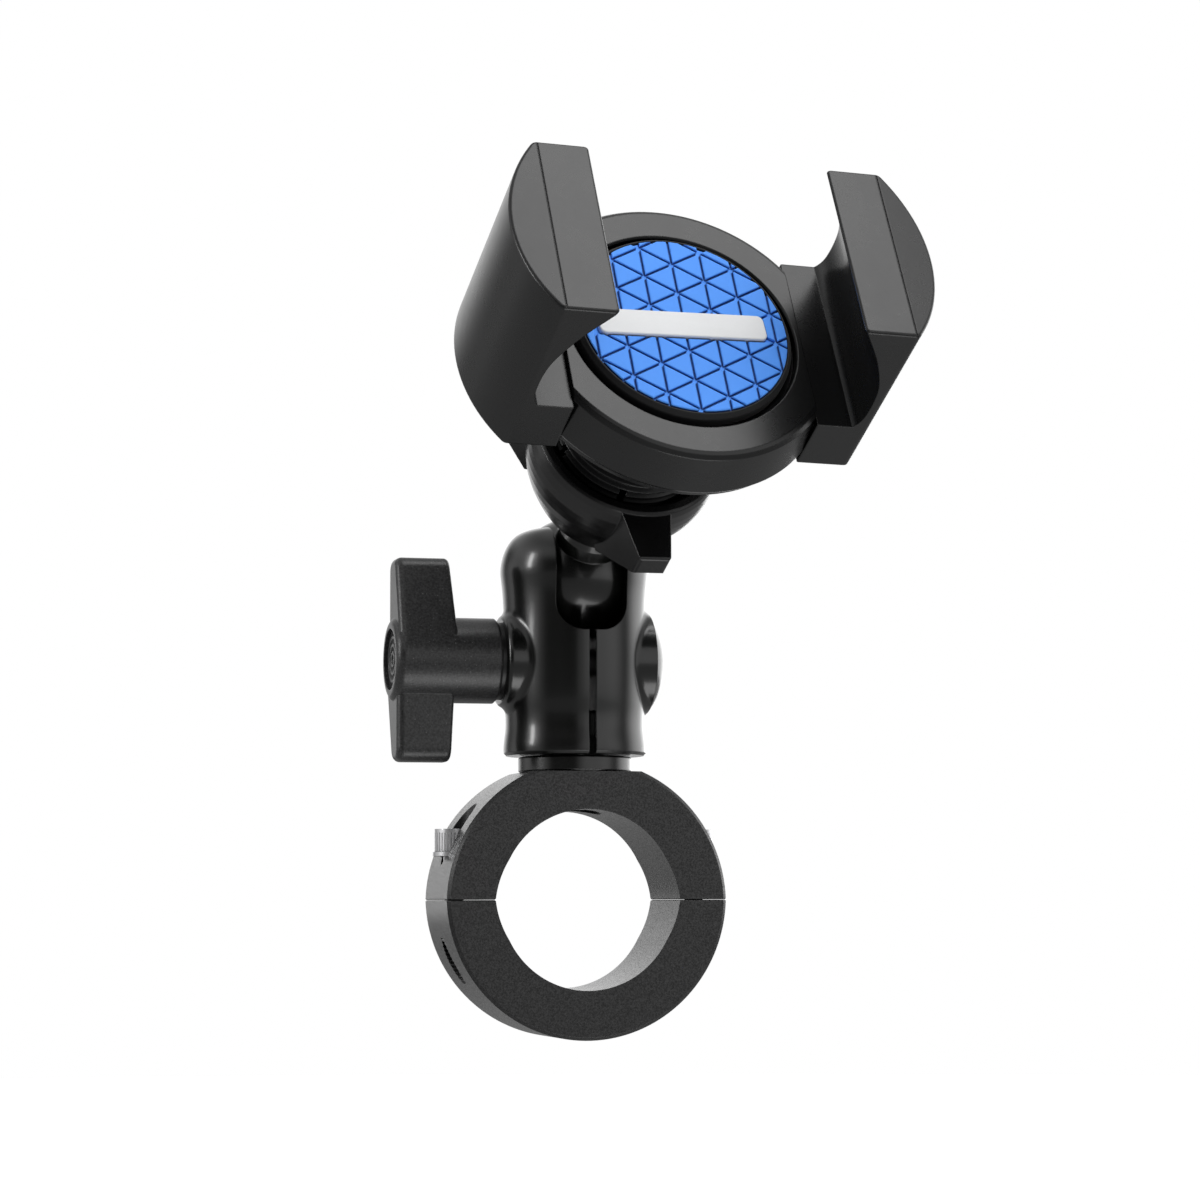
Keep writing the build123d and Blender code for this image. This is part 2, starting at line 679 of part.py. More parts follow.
def grip_tab():
    tab = extrude(Rot(90, 0, 0) * polygon(tab_section), 12, both=True)
    plan = polygon([(x, -y) for x, y in tab_widths] + tab_widths[::-1])
    tab = tab & extrude(Plane.XY.offset(-60) * plan, 60)
    return try_fillet(tab, [e for e in tab.edges() if e.center().X > 25.1], 0.6)


def tightening_ring():
    ring = lathe(ring_outside + ring_inside)
    hollow = lathe([(0, ring_front_w), (14.9, ring_front_w)] + ring_inside[::-1]
                   + [(0, ring_rear_w)])
    tab = grip_tab()
    for angle in (-88, 32, 152):
        ring += (Rot(0, 0, angle) * tab) - hollow
    return ring


save(place(friction_cup()), "friction_cup")
save(place(tightening_ring()), "tightening_ring")

# --- pad: rim disc, tiled face and raised bar --------------------------------
pad_rim_r = 19.0
pad_r = 18.05
pad_seat_w = 0.3
pad_floor_w = 1.9         # floor of the grooves
pad_top_w = 2.5
tile = 6.15               # side of a triangular tile
tile_gap = 0.42
bar_len, bar_width, bar_corner_r = 29.6, 5.2, 1.2
bar_bottom, bar_top = pad_floor_w - 0.6, 2.95
bar_place = Pos(-0.6, -0.25, 0) * Rot(0, 0, 2.0)


def pad_rim():
    return lathe([(0, -0.5), (pad_rim_r, -0.5), (pad_rim_r, 1.3), (pad_rim_r - 0.2, 1.6),
                  (pad_r + 0.2, 2.2), (pad_r, 2.2), (pad_r, pad_seat_w), (0, pad_seat_w)])


def bar_prism(clearance, height):
    outline = RectangleRounded(bar_len + clearance, bar_width + clearance, bar_corner_r)
    return extrude(Plane.XY.offset(bar_bottom) * (bar_place * outline), height)


def grip_pad():
    pad = cyl(pad_r - 0.02, pad_seat_w, pad_top_w)
    row = tile * sqrt(3) / 2
    # three sets of parallel grooves leave triangular tiles
    for angle in (0, 60, -60):
        for i in range(-4, 5):
            groove = block(i * row - tile_gap / 2, i * row + tile_gap / 2, -40, 40,
                           pad_floor_w, 4)
            pad -= Pos(-0.1, 0.7, 0) * Rot(0, 0, angle) * groove
    pad -= bar_prism(0.02, 4)
    return largest(pad)


def pad_bar():
    bar = bar_prism(0, bar_top - bar_bottom)
    return chamfer(bar.edges().group_by(Axis.Z)[-1], 0.2)


save(place(pad_rim()), "pad_rim")
save(place(grip_pad()), "grip_pad")
save(place(pad_bar()), "pad_bar")
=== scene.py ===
# A phone rest held by a ring and an arm, with knobs, nuts and steel parts.
# The CAD pieces stand with +Z up; the round face of the rest looks towards -Y and upwards.
# The soft parts of the rest (rim, blue tiled face, white bar) are modelled here, in millimetres.
import bpy, bmesh, json, math
from mathutils import Vector, Matrix

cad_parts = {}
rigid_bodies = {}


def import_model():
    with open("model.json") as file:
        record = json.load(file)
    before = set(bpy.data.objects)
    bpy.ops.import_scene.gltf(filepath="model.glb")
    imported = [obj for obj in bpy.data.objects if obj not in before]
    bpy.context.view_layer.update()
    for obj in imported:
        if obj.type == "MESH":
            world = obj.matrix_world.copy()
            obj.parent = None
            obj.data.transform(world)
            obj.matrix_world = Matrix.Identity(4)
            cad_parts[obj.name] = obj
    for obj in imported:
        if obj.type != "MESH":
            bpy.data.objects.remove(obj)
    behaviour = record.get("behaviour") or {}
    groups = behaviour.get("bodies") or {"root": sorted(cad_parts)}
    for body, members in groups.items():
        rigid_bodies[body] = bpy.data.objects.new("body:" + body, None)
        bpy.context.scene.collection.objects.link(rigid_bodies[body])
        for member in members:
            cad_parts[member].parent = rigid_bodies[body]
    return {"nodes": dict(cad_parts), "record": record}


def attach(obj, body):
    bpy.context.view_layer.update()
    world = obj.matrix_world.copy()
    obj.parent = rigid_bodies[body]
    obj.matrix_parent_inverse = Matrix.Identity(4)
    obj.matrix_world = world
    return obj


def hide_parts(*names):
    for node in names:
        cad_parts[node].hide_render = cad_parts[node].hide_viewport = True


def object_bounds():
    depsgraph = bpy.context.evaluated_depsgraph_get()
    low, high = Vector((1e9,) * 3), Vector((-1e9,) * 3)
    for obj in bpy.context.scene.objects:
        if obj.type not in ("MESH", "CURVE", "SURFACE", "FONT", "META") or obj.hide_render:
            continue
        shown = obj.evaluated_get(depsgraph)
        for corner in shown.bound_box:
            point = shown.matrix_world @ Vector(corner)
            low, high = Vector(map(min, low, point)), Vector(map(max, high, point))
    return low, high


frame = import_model()
cad_lo, cad_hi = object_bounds()
nodes = frame["nodes"]
scene = bpy.context.scene

MM = 0.001  # metres in a millimetre

# ---------------------------------------------------------------------------
# Camera: its axes in the world, and its place in millimetres
# ---------------------------------------------------------------------------
CAM_RIGHT = Vector((0.9675358494, -0.2527227965, -0.0023597122))
CAM_UP = Vector((-0.0208961267, -0.0892975225, 0.9957857724))
CAM_FORWARD = Vector((0.2518684815, 0.9634091242, 0.0916794819))
CAM_PLACE = Vector((-143.8006542709, -568.1530391360, -0.2898850222))

# level directions of the view, used to place the lights
LEVEL_FORWARD = Vector((CAM_FORWARD.x, CAM_FORWARD.y, 0)).normalized()
LEVEL_RIGHT = Vector((CAM_RIGHT.x, CAM_RIGHT.y, 0)).normalized()


def build_camera():
    data = bpy.data.cameras.new("camera")
    data.sensor_width = 36.0
    data.lens = 98.189
    data.clip_start = 0.01
    data.clip_end = 50
    camera = bpy.data.objects.new("camera", data)
    scene.collection.objects.link(camera)
    turn = Matrix((CAM_RIGHT, CAM_UP, -CAM_FORWARD)).transposed()
    camera.matrix_world = Matrix.Translation(CAM_PLACE * MM) @ turn.to_4x4()
    scene.camera = camera


build_camera()
scene.view_settings.view_transform = "Standard"
scene.view_settings.look = "None"
scene.view_settings.exposure = 0.0
scene.view_settings.gamma = 1.0


# ---------------------------------------------------------------------------
# Shader node helpers
# ---------------------------------------------------------------------------
class Tree:
    """Short ways to add nodes; every input may be a value or another node's output."""

    def __init__(self, tree):
        self.tree = tree
        tree.nodes.clear()

    def put(self, socket, value):
        if isinstance(value, bpy.types.NodeSocket):
            self.tree.links.new(value, socket)
        else:
            socket.default_value = value

    def set(self, node, inputs):
        for key, value in inputs.items():
            self.put(node.inputs[key], value)

    def new(self, kind, inputs=None, **props):
        node = self.tree.nodes.new(kind)
        for key, value in props.items():
            setattr(node, key, value)
        self.set(node, inputs or {})
        return node

    def math(self, operation, a, b, clamp=False):
        # the third input is ignored by these operations
        node = self.new("ShaderNodeMath", {0: a, 1: b, 2: 0.0}, operation=operation, use_clamp=clamp)
        return node.outputs[0]

    def add(self, a, b):
        return self.math("ADD", a, b)

    def subtract(self, a, b, clamp=False):
        return self.math("SUBTRACT", a, b, clamp)

    def multiply(self, a, b, clamp=False):
        return self.math("MULTIPLY", a, b, clamp)

    def vector(self, operation, a, b=(0, 0, 0)):
        node = self.new("ShaderNodeVectorMath", {0: a, 1: b}, operation=operation)
        return node.outputs["Value" if operation in ("DOT_PRODUCT", "LENGTH") else 0]

    def scale(self, vector, factor):
        node = self.new("ShaderNodeVectorMath", {0: vector, "Scale": factor}, operation="SCALE")
        return node.outputs[0]

    def ramp(self, value, span, to=(0.0, 1.0), kind="SMOOTHSTEP"):
        """Map the range span onto the range to."""
        return self.new("ShaderNodeMapRange", {
            "Value": value, "From Min": span[0], "From Max": span[1],
            "To Min": to[0], "To Max": to[1]}, interpolation_type=kind).outputs["Result"]

    def noise(self, vector, scale, detail, rough):
        return self.new("ShaderNodeTexNoise", {
            "Vector": vector, "Scale": scale, "Detail": detail, "Roughness": rough}).outputs["Fac"]

    def mix(self, factor, a, b):
        # inputs 6 and 7 and output 2 are the colour ones
        return self.new("ShaderNodeMix", {"Factor": factor, 6: a, 7: b}, data_type="RGBA").outputs[2]

    def bump(self, height, depth, normal):
        """Relief of the given depth in millimetres on top of a normal."""
        return self.new("ShaderNodeBump", {
            "Strength": 1.0, "Distance": depth * MM, "Height": height,
            "Normal": normal}).outputs["Normal"]

    def occlusion(self, distance, samples):
        """1 in the open, falling in recesses; distance in millimetres."""
        return self.new("ShaderNodeAmbientOcclusion", {"Distance": distance * MM},
                        samples=samples).outputs["AO"]

    def soft_normal(self, radius):
        """Normal with edges rounded to a radius in millimetres."""
        return self.new("ShaderNodeBevel", {"Radius": radius * MM}, samples=6).outputs[0]

    def edge_band_mask(self, soft):
        """1 along edges, 0 on open faces, from the rounded normal."""
        flat = self.new("ShaderNodeNewGeometry").outputs["Normal"]
        return self.ramp(self.vector("DOT_PRODUCT", soft, flat), span=(0.995, 0.90))

    def add_shaders(self, a, b):
        return self.new("ShaderNodeAddShader", {0: a, 1: b}).outputs[0]

    def mix_shaders(self, factor, a, b):
        return self.new("ShaderNodeMixShader", {0: factor, 1: a, 2: b}).outputs[0]


def rgba(colour, gain=1.0):
    return (*(channel * gain for channel in colour), 1.0)


def grey(level):
    return (level, level, level)


def new_material(name):
    """A material with a Principled shader: material, tree, shader, object coordinates."""
    material = bpy.data.materials.new(name)
    material.use_nodes = True
    t = Tree(material.node_tree)
    shader = t.new("ShaderNodeBsdfPrincipled")
    t.new("ShaderNodeOutputMaterial", {"Surface": shader.outputs[0]})
    coords = t.new("ShaderNodeTexCoord").outputs["Object"]
    return material, t, shader, coords


# ---------------------------------------------------------------------------
# Finishes
# ---------------------------------------------------------------------------
def coated(name, base, rough, grain, mottling=0.12, coat=None, spec=0.5, edge=0.18,
           edge_gain=0.5, rough_var=0.06, peel=None, speck=None, sparkle=None, recess_shade_reach=None):
    """Solid finish with drifting colour and sheen, fine grain, and soft edges lighter from wear and
    a painted highlight.

    grain, peel: noise scale, relief in mm        coat: weight, roughness
    speck: cell scale, share of cells, colour     sparkle: noise scale, darkest, brightest
    edge: rounding radius in mm, which also sets the lighter band of wear and painted highlight along edges    last argument: reach of the painted shade in recesses, in mm
    """
    material, t, shader, coords = new_material(name)
    broad = t.noise(coords, scale=90.0, detail=3.0, rough=0.55)
    medium = t.noise(coords, scale=700.0, detail=3.0, rough=0.6)
    # weights of the two noises add up to 1
    drift = t.add(t.multiply(broad, 0.6), t.multiply(medium, 0.4))
    # brightness swings round 1 by the mottling either way
    brightness = t.add(t.multiply(t.subtract(drift, 0.5), 2 * mottling), 1.0)
    glint = None
    if sparkle:
        # fine salt-and-pepper grain of a sprayed or moulded surface
        size, darkest, brightest = sparkle
        salt = t.noise(coords, scale=size, detail=1.0, rough=0.5)
        glint = t.ramp(salt, span=(0.30, 0.70), to=(darkest, brightest), kind="LINEAR")
        brightness = t.multiply(brightness, glint)
    colour = t.scale(base, brightness)

    # lighter colour in patches along the edges: partly wear, partly a painted edge highlight
    normal = t.soft_normal(edge)
    wear_and_highlight = t.edge_band_mask(normal)
    patch = t.ramp(t.noise(coords, scale=420.0, detail=4.0, rough=0.65), span=(0.42, 0.62))
    wear_and_highlight_colour = rgba([min(1.0, channel * 2.6 + 0.02) for channel in base])
    colour = t.mix(t.multiply(wear_and_highlight, t.multiply(patch, edge_gain)), colour, wear_and_highlight_colour)
    if speck:
        # sparse bright flecks in a textured plastic
        size, share, tint = speck
        cells = t.new("ShaderNodeTexVoronoi", {"Vector": coords, "Scale": size})
        pick = t.new("ShaderNodeSeparateColor", {0: cells.outputs["Color"]}).outputs[0]
        fleck = t.multiply(t.ramp(pick, span=(1 - share, 1 - share * 0.6)),
                           t.ramp(cells.outputs["Distance"], span=(0.35, 0.1)))
        colour = t.mix(fleck, colour, rgba(tint))
    shade = None
    if recess_shade_reach:
        # painted shade: recesses found by ambient occlusion are darkened towards a third of the base
        # colour
        shade = t.ramp(t.occlusion(distance=recess_shade_reach, samples=8), span=(0.22, 0.62), to=(0.06, 1.0))
        colour = t.mix(shade, rgba(base, gain=0.3), colour)

    # edges are up to 0.04 smoother from wear
    roughness = t.add(rough - rough_var, t.multiply(drift, 2 * rough_var))
    roughness = t.subtract(roughness, t.multiply(wear_and_highlight, 0.04), clamp=True)
    if peel:
        size, depth = peel
        normal = t.bump(t.noise(coords, scale=size, detail=1.5, rough=0.5), depth, normal)
    size, depth = grain
    normal = t.bump(t.noise(coords, scale=size, detail=2.0, rough=0.6), depth, normal)
    t.set(shader, {
        "Base Color": colour,
        "Roughness": roughness,
        "Normal": normal,
        "IOR": 1.5,
        "Specular IOR Level": spec,
    })
    # painted shade: recesses also lose their specular sheen, with the same mask
    if shade is not None:
        t.put(shader.inputs["Specular IOR Level"], t.multiply(shade, spec))
    if coat:
        weight, coat_rough = coat
        if glint is not None:
            weight = t.multiply(glint, weight, clamp=True)
        t.set(shader, {"Coat Weight": weight, "Coat Roughness": coat_rough})
    return material


def machined(name, base, rough, crease_darkness):
    """Turned or drawn bare metal with fine lines round Z; the last argument sets how far creases are
    darkened.
    """
    material, t, shader, coords = new_material(name)
    lines = t.new("ShaderNodeTexNoise", {"Scale": 4.0, "Detail": 3.0}, noise_dimensions="1D")
    height = t.new("ShaderNodeSeparateXYZ", {0: coords}).outputs["Z"]
    # the lines crowd together along Z by this factor
    t.put(lines.inputs["W"], t.multiply(height, 2600.0))
    lines = lines.outputs["Fac"]
    smear = t.noise(coords, scale=260.0, detail=4.0, rough=0.6)
    soft = t.soft_normal(radius=0.12)
    # base brightness 0.65, plus equal shares of lines and smears
    brightness = t.add(t.multiply(lines, 0.35), t.multiply(smear, 0.35))
    brightness = t.add(brightness, 0.65)
    colour = t.scale(base, brightness)
    # creases found by ambient occlusion are darkened towards near black
    crease = t.ramp(t.occlusion(distance=0.45, samples=6), span=(0.90, 0.45), to=(0.0, crease_darkness))
    t.set(shader, {
        "Base Color": t.mix(crease, colour, rgba(grey(0.02))),
        # smears swing the roughness by up to 0.14
        "Roughness": t.add(rough - 0.05, t.multiply(smear, 0.14)),
        "Normal": t.bump(lines, depth=0.0015, normal=soft),
        "Metallic": 1.0,
    })
    return material


def rubber(name, base, groove_shade_colour, rough, spec):
    """Matt rubber, with painted shade in its grooves and creases, where it turns to a darker colour.
    """
    material, t, shader, coords = new_material(name)
    # painted shade: grooves and creases found by ambient occlusion turn to the darker colour
    groove_shade = t.ramp(t.occlusion(distance=0.5, samples=8), span=(0.80, 0.42))
    broad = t.noise(coords, scale=160.0, detail=3.0, rough=0.6)
    dust = t.noise(coords, scale=2400.0, detail=3.0, rough=0.7)
    # base brightness 0.93, plus a little of each noise
    brightness = t.add(0.93, t.add(t.multiply(broad, 0.09), t.multiply(dust, 0.05)))
    colour = t.scale(base, brightness)
    soft = t.soft_normal(radius=0.12)
    grain = t.noise(coords, scale=5200.0, detail=2.0, rough=0.6)
    t.set(shader, {
        "Base Color": t.mix(groove_shade, colour, rgba(groove_shade_colour)),
        # dust swings the roughness by 0.06 either way
        "Roughness": t.add(rough - 0.06, t.multiply(dust, 0.12)),
        "Normal": t.bump(grain, depth=0.006, normal=soft),
        "Specular IOR Level": spec,
        "Sheen Weight": 0.08,
    })
    return material


COATED = {
    "ring_metal": dict(
        base=(0.0050, 0.0050, 0.0053), rough=0.42, grain=(2900.0, 0.014), mottling=0.22,
        edge=0.30, edge_gain=0.8, spec=0.25, coat=(0.60, 0.25), sparkle=(3300.0, 0.50, 1.6)),
    "arm_paint": dict(
        base=(0.0026, 0.0029, 0.0026), rough=0.25, peel=(420.0, 0.0022), mottling=0.15,
        rough_var=0.04, edge=0.30, edge_gain=0.06, coat=(0.30, 0.11), grain=(9000.0, 0.0005)),
    "knob_plastic": dict(
        base=(0.0190, 0.0190, 0.0194), rough=0.36, grain=(2300.0, 0.024), mottling=0.2,
        edge=0.32, edge_gain=0.30, speck=(3000.0, 0.08, grey(0.14)), sparkle=(2900.0, 0.4, 1.9)),
    "shell_plastic": dict(
        base=(0.0040, 0.0041, 0.0044), rough=0.28, grain=(5200.0, 0.0030), edge=0.28,
        edge_gain=0.14, sparkle=(5200.0, 0.75, 1.25), recess_shade_reach=7.0),
    "nut_plastic": dict(
        base=(0.0032, 0.0032, 0.0034), rough=0.24, grain=(6400.0, 0.0015), edge=0.35,
        edge_gain=0.15),
    "acetal": dict(
        base=(0.0045, 0.0045, 0.0047), rough=0.36, grain=(5200.0, 0.003), spec=0.4),
}
METALS = {
    "steel": dict(base=(0.66, 0.66, 0.67), rough=0.33, crease_darkness=0.75),
    "dark_steel": dict(base=(0.12, 0.12, 0.13), rough=0.34, crease_darkness=0.35),
}
RUBBERS = {
    "rim_rubber": dict(
        base=(0.0060, 0.0060, 0.0066), groove_shade_colour=(0.003, 0.003, 0.003), rough=0.55, spec=0.30),
    "pad_rubber": dict(
        base=(0.085, 0.330, 1.000), groove_shade_colour=(0.008, 0.030, 0.160), rough=0.60, spec=0.25),
    "bar_white": dict(
        base=(0.80, 0.81, 0.82), groove_shade_colour=(0.40, 0.41, 0.43), rough=0.55, spec=0.3),
}
materials = {}
for finish, recipes in ((coated, COATED), (machined, METALS), (rubber, RUBBERS)):
    for name, recipe in recipes.items():
        materials[name] = finish(name, **recipe)

slots = {part["node"]: part["material_slot"] for part in frame["record"]["subparts"]}
for name, obj in nodes.items():
    obj.data.materials.clear()
    obj.data.materials.append(materials[slots[name]])

# ---------------------------------------------------------------------------
# Soft parts of the phone rest, in millimetres in the rest's own frame:
# x across, y along the phone, z out of the rest
# ---------------------------------------------------------------------------
ACROSS = Vector((0.9970, 0.0751, -0.0197))
OUTWARD = Vector((0.0750, -0.8656, 0.4951))
REST_ORIGIN = Vector((0, 0, 62.68)) + OUTWARD * 61.7

PAD_R = 18.03          # blue face
RIM_R = 19.0           # outside of the dark rim
RIM_BASE = -0.5        # underside of the rim
RIM_ROUND = 0.25       # rounding of its lower edge
LIP_ROUND = 0.45       # rounding of its upper outer edge
FLOOR_TOP = 1.90       # bottom of the grooves between tiles
TILE_TOP = 2.48
TILE_SIDE = 6.15
TILE_GAP = 0.42
TILE_SHIFT = (-0.1, 0.7)   # offset of the tile lattice from the centre
LATTICE = range(-5, 6)
RIM_CUTS = 72          # straight cuts that trim the tiles to a circle
TILE_REACH = PAD_R - 0.10
MIN_SIDE = 0.05        # shorter sides would spoil a tile's shoulder
MIN_AREA = 0.12        # smaller tiles are left out
MIN_STEP_AREA = 0.02   # a tile stops where its shoulder gets smaller than this

BAR_W, BAR_H, BAR_TOP = 29.6, 5.2, 2.95
BAR_CENTRE = Vector((-0.6, -0.25))
BAR_TILT = math.radians(2.0)
BAR_LONG = Vector((math.cos(BAR_TILT), math.sin(BAR_TILT)))
BAR_SHORT = Vector((-math.sin(BAR_TILT), math.cos(BAR_TILT)))
BAR_PLAY = 0.04        # taken off the bar's width and height
BAR_MARGIN = 0.10      # clearance from the bar to the tiles
BAR_CORNER, BAR_CORNER_MIN = 1.2, 0.5

# inset from the outline, height
TILE_STEPS = [
    (0.0, FLOOR_TOP - 0.12), (0.0, TILE_TOP - 0.17), (0.035, TILE_TOP - 0.085),
    (0.095, TILE_TOP - 0.028), (0.19, TILE_TOP),
]
BAR_STEPS = [
    (0.0, FLOOR_TOP - 0.4), (0.0, BAR_TOP - 0.30), (0.03, BAR_TOP - 0.17),
    (0.10, BAR_TOP - 0.07), (0.20, BAR_TOP - 0.02), (0.34, BAR_TOP),
]


def add_piece(name, bm, node, smooth=True):
    """Place a finished piece on the rest, instead of the CAD piece called node."""
    bmesh.ops.recalc_face_normals(bm, faces=bm.faces)
    mesh = bpy.data.meshes.new(name)
    bm.to_mesh(mesh)
    bm.free()
    # drop the part of the across direction that leans out of the rest
    lean = OUTWARD * ACROSS.dot(OUTWARD) / OUTWARD.dot(OUTWARD)
    x_axis = (ACROSS - lean).normalized()
    z_axis = OUTWARD.normalized()
    turn = Matrix((x_axis, z_axis.cross(x_axis), z_axis)).transposed().to_4x4()
    mesh.transform(Matrix.Translation(REST_ORIGIN * MM) @ turn @ Matrix.Scale(MM, 4))
    obj = bpy.data.objects.new(name, mesh)
    scene.collection.objects.link(obj)
    mesh.materials.append(materials[slots[node]])
    if smooth:
        for face in mesh.polygons:
            face.use_smooth = True
    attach(obj, "cradle")
    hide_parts(node)


def lathe(profile, steps, ripple=0.0, phase=0.0):
    """Turn (radius, z) points round z; the first and last lie on the axis."""
    bm = bmesh.new()
    columns = []
    for k in range(steps):
        a = 2 * math.pi * k / steps
        swell = ripple * (math.sin(5 * a + phase) + 0.6 * math.sin(11 * a + 2 * phase))
        columns.append([
            bm.verts.new(((r + swell) * math.cos(a), (r + swell) * math.sin(a), z))
            for r, z in profile[1:-1]])
    first = bm.verts.new((0, 0, profile[0][1]))
    last = bm.verts.new((0, 0, profile[-1][1]))
    columns = [[first, *column, last] for column in columns]
    for k in range(steps):
        a, b = columns[k], columns[(k + 1) % steps]
        for i in range(len(profile) - 1):
            # triangles where the column meets the axis, quads elsewhere
            bm.faces.new(list(dict.fromkeys((a[i], a[i + 1], b[i + 1], b[i]))))
    return bm


def arc(cx, cz, radius, start, end, steps):
    angles = [math.radians(start + (end - start) * i / steps) for i in range(steps + 1)]
    return [(cx + radius * math.cos(a), cz + radius * math.sin(a)) for a in angles]


def add_walls(bm, rows):
    """Join each loop of vertices to the next one up."""
    for lower, upper in zip(rows, rows[1:]):
        for i in range(len(lower)):
            j = (i + 1) % len(lower)
            bm.faces.new((lower[i], lower[j], upper[j], upper[i]))


def build_rim():
    """Dark ring whose rolled lip stands round the blue face."""
    profile = [
        (0, RIM_BASE),
        (RIM_R - RIM_ROUND, RIM_BASE),
        *arc(RIM_R - RIM_ROUND, RIM_BASE + RIM_ROUND, RIM_ROUND, start=-80, end=0, steps=4),
        (RIM_R, 0.6),
        (RIM_R, 1.10),
        *arc(RIM_R - LIP_ROUND, 1.15, LIP_ROUND, start=0, end=62, steps=6),
        *arc(PAD_R + 0.27, 1.98, 0.22, start=50, end=160, steps=6),
        (PAD_R + 0.03, 1.7),
        (PAD_R + 0.03, 0.32),
        (0, 0.32),
    ]
    add_piece("pad_rim_soft", lathe(profile, steps=192, ripple=0.006, phase=0.7), "pad_rim")


def clip(poly, normal, limit):
    """Keep the part of a convex polygon whose distance along normal is within limit."""
    nx, ny = normal
    kept = []
    for i, p in enumerate(poly):
        q = poly[(i + 1) % len(poly)]
        a = nx * p[0] + ny * p[1] - limit
        b = nx * q[0] + ny * q[1] - limit
        if a <= 0:
            kept.append(p)
        if (a < 0) != (b < 0) and abs(a - b) > 1e-12:
            f = a / (a - b)
            if 0 < f < 1:
                kept.append((p[0] + (q[0] - p[0]) * f, p[1] + (q[1] - p[1]) * f))
    return kept


def within_bar(poly, direction, reach):
    """Part of poly less than reach from the bar's centre, along direction."""
    return clip(poly, direction, reach + BAR_CENTRE.dot(direction))


def beyond_bar(poly, direction, reach):
    """Part of poly more than reach from the bar's centre, along direction."""
    return clip(poly, -direction, -reach - BAR_CENTRE.dot(direction))


def area(poly):
    total = 0
    for i, p in enumerate(poly):
        q = poly[(i + 1) % len(poly)]
        total += p[0] * q[1] - q[0] * p[1]
    return 0.5 * total


def inset(poly, distance):
    """Convex polygon drawn in on every side, corner for corner."""
    moved = []
    for i in range(len(poly)):
        before, corner, after = (Vector(poly[k % len(poly)]) for k in (i - 1, i, i + 1))
        side_in = (corner - before).normalized()
        side_out = (after - corner).normalized()
        normal_in = Vector((-side_in.y, side_in.x))
        normal_out = Vector((-side_out.y, side_out.x))
        # the lower bound keeps very sharp corners from running away
        spread = max(0.15, 1 + normal_in.dot(normal_out))
        moved.append(tuple(corner + (normal_in + normal_out) * (distance / spread)))
    return moved


def drop_short_sides(poly):
    return [p for i, p in enumerate(poly)
            if math.hypot(p[0] - poly[i - 1][0], p[1] - poly[i - 1][1]) > MIN_SIDE]


def add_tile(bm, poly):
    """Straight wall, then a rolled shoulder and a slightly domed top."""
    if area(poly) < MIN_AREA:
        return
    rows = []
    for distance, z in TILE_STEPS:
        outline = inset(poly, distance)
        if area(outline) < MIN_STEP_AREA:
            return
        rows.append([bm.verts.new((x, y, z)) for x, y in outline])
    add_walls(bm, rows)
    top = rows[-1]
    cx = sum(v.co.x for v in top) / len(top)
    cy = sum(v.co.y for v in top) / len(top)
    # the height of the dome varies a little from tile to tile
    wobble = 0.006 * math.sin(12.9 * poly[0][0] + 7.3 * poly[0][1])
    peak = bm.verts.new((cx, cy, TILE_TOP + 0.022 + wobble))
    for i in range(len(top)):
        bm.faces.new((top[i], top[(i + 1) % len(top)], peak))
    bm.faces.new(rows[0][::-1])


def cut_round_bar(poly):
    """Pieces of a tile left once the bar and its margin are taken out."""
    reach_x = BAR_W / 2 + BAR_MARGIN
    reach_y = BAR_H / 2 + BAR_MARGIN
    offsets = [Vector(p) - BAR_CENTRE for p in poly]
    xs = [offset.dot(BAR_LONG) for offset in offsets]
    ys = [offset.dot(BAR_SHORT) for offset in offsets]
    if max(xs) <= -reach_x or min(xs) >= reach_x or max(ys) <= -reach_y or min(ys) >= reach_y:
        return [poly]
    pieces = [beyond_bar(poly, side, reach_y) for side in (BAR_SHORT, -BAR_SHORT)]
    for end in (BAR_LONG, -BAR_LONG):
        piece = beyond_bar(poly, end, reach_x)
        for side in (BAR_SHORT, -BAR_SHORT):
            piece = within_bar(piece, side, reach_y)
        pieces.append(piece)
    return pieces


def build_grip_pad():
    """Blue face: a floor disc with a field of soft-edged triangular tiles."""
    edge = PAD_R - 0.02
    bm = lathe([(0, 0.34), (edge, 0.34), (edge, FLOOR_TOP - 0.1), (PAD_R - 0.12, FLOOR_TOP),
                (0, FLOOR_TOP)], steps=160)
    column = TILE_SIDE * math.sqrt(3) / 2
    half = 0.5 * TILE_SIDE
    # triangles pointing to +x and to -x, with one side along y
    triangles = (
        ((0, 0), (column, half), (0, TILE_SIDE)),
        ((0, 0), (column, -half), (column, half)),
    )
    for i in LATTICE:
        for j in LATTICE:
            origin = Vector((i * column, (j + 0.5 * (i % 2)) * TILE_SIDE))
            for triangle in triangles:
                corners = [origin + Vector(corner) for corner in triangle]
                tile = [(p.x + TILE_SHIFT[0], p.y + TILE_SHIFT[1]) for p in corners]
                tile = inset(tile, TILE_GAP / 2)
                if min(math.hypot(*p) for p in tile) > PAD_R:
                    continue
                for k in range(RIM_CUTS):
                    a = 2 * math.pi * k / RIM_CUTS
                    tile = clip(tile, (math.cos(a), math.sin(a)), TILE_REACH)
                tile = drop_short_sides(tile)
                if len(tile) < 3:
                    continue
                for piece in cut_round_bar(tile):
                    add_tile(bm, drop_short_sides(piece))
    add_piece("grip_pad_soft", bm, "grip_pad", smooth=False)


def rounded_rect(width, height, radius, steps=6):
    """Outline from the +x +y corner, anticlockwise."""
    points = []
    for quarter, (sx, sy) in enumerate(((1, 1), (-1, 1), (-1, -1), (1, -1))):
        for k in range(steps + 1):
            a = math.radians(90 * quarter + 90 * k / steps)
            points.append((sx * (width / 2 - radius) + radius * math.cos(a),
                           sy * (height / 2 - radius) + radius * math.sin(a)))
    return points


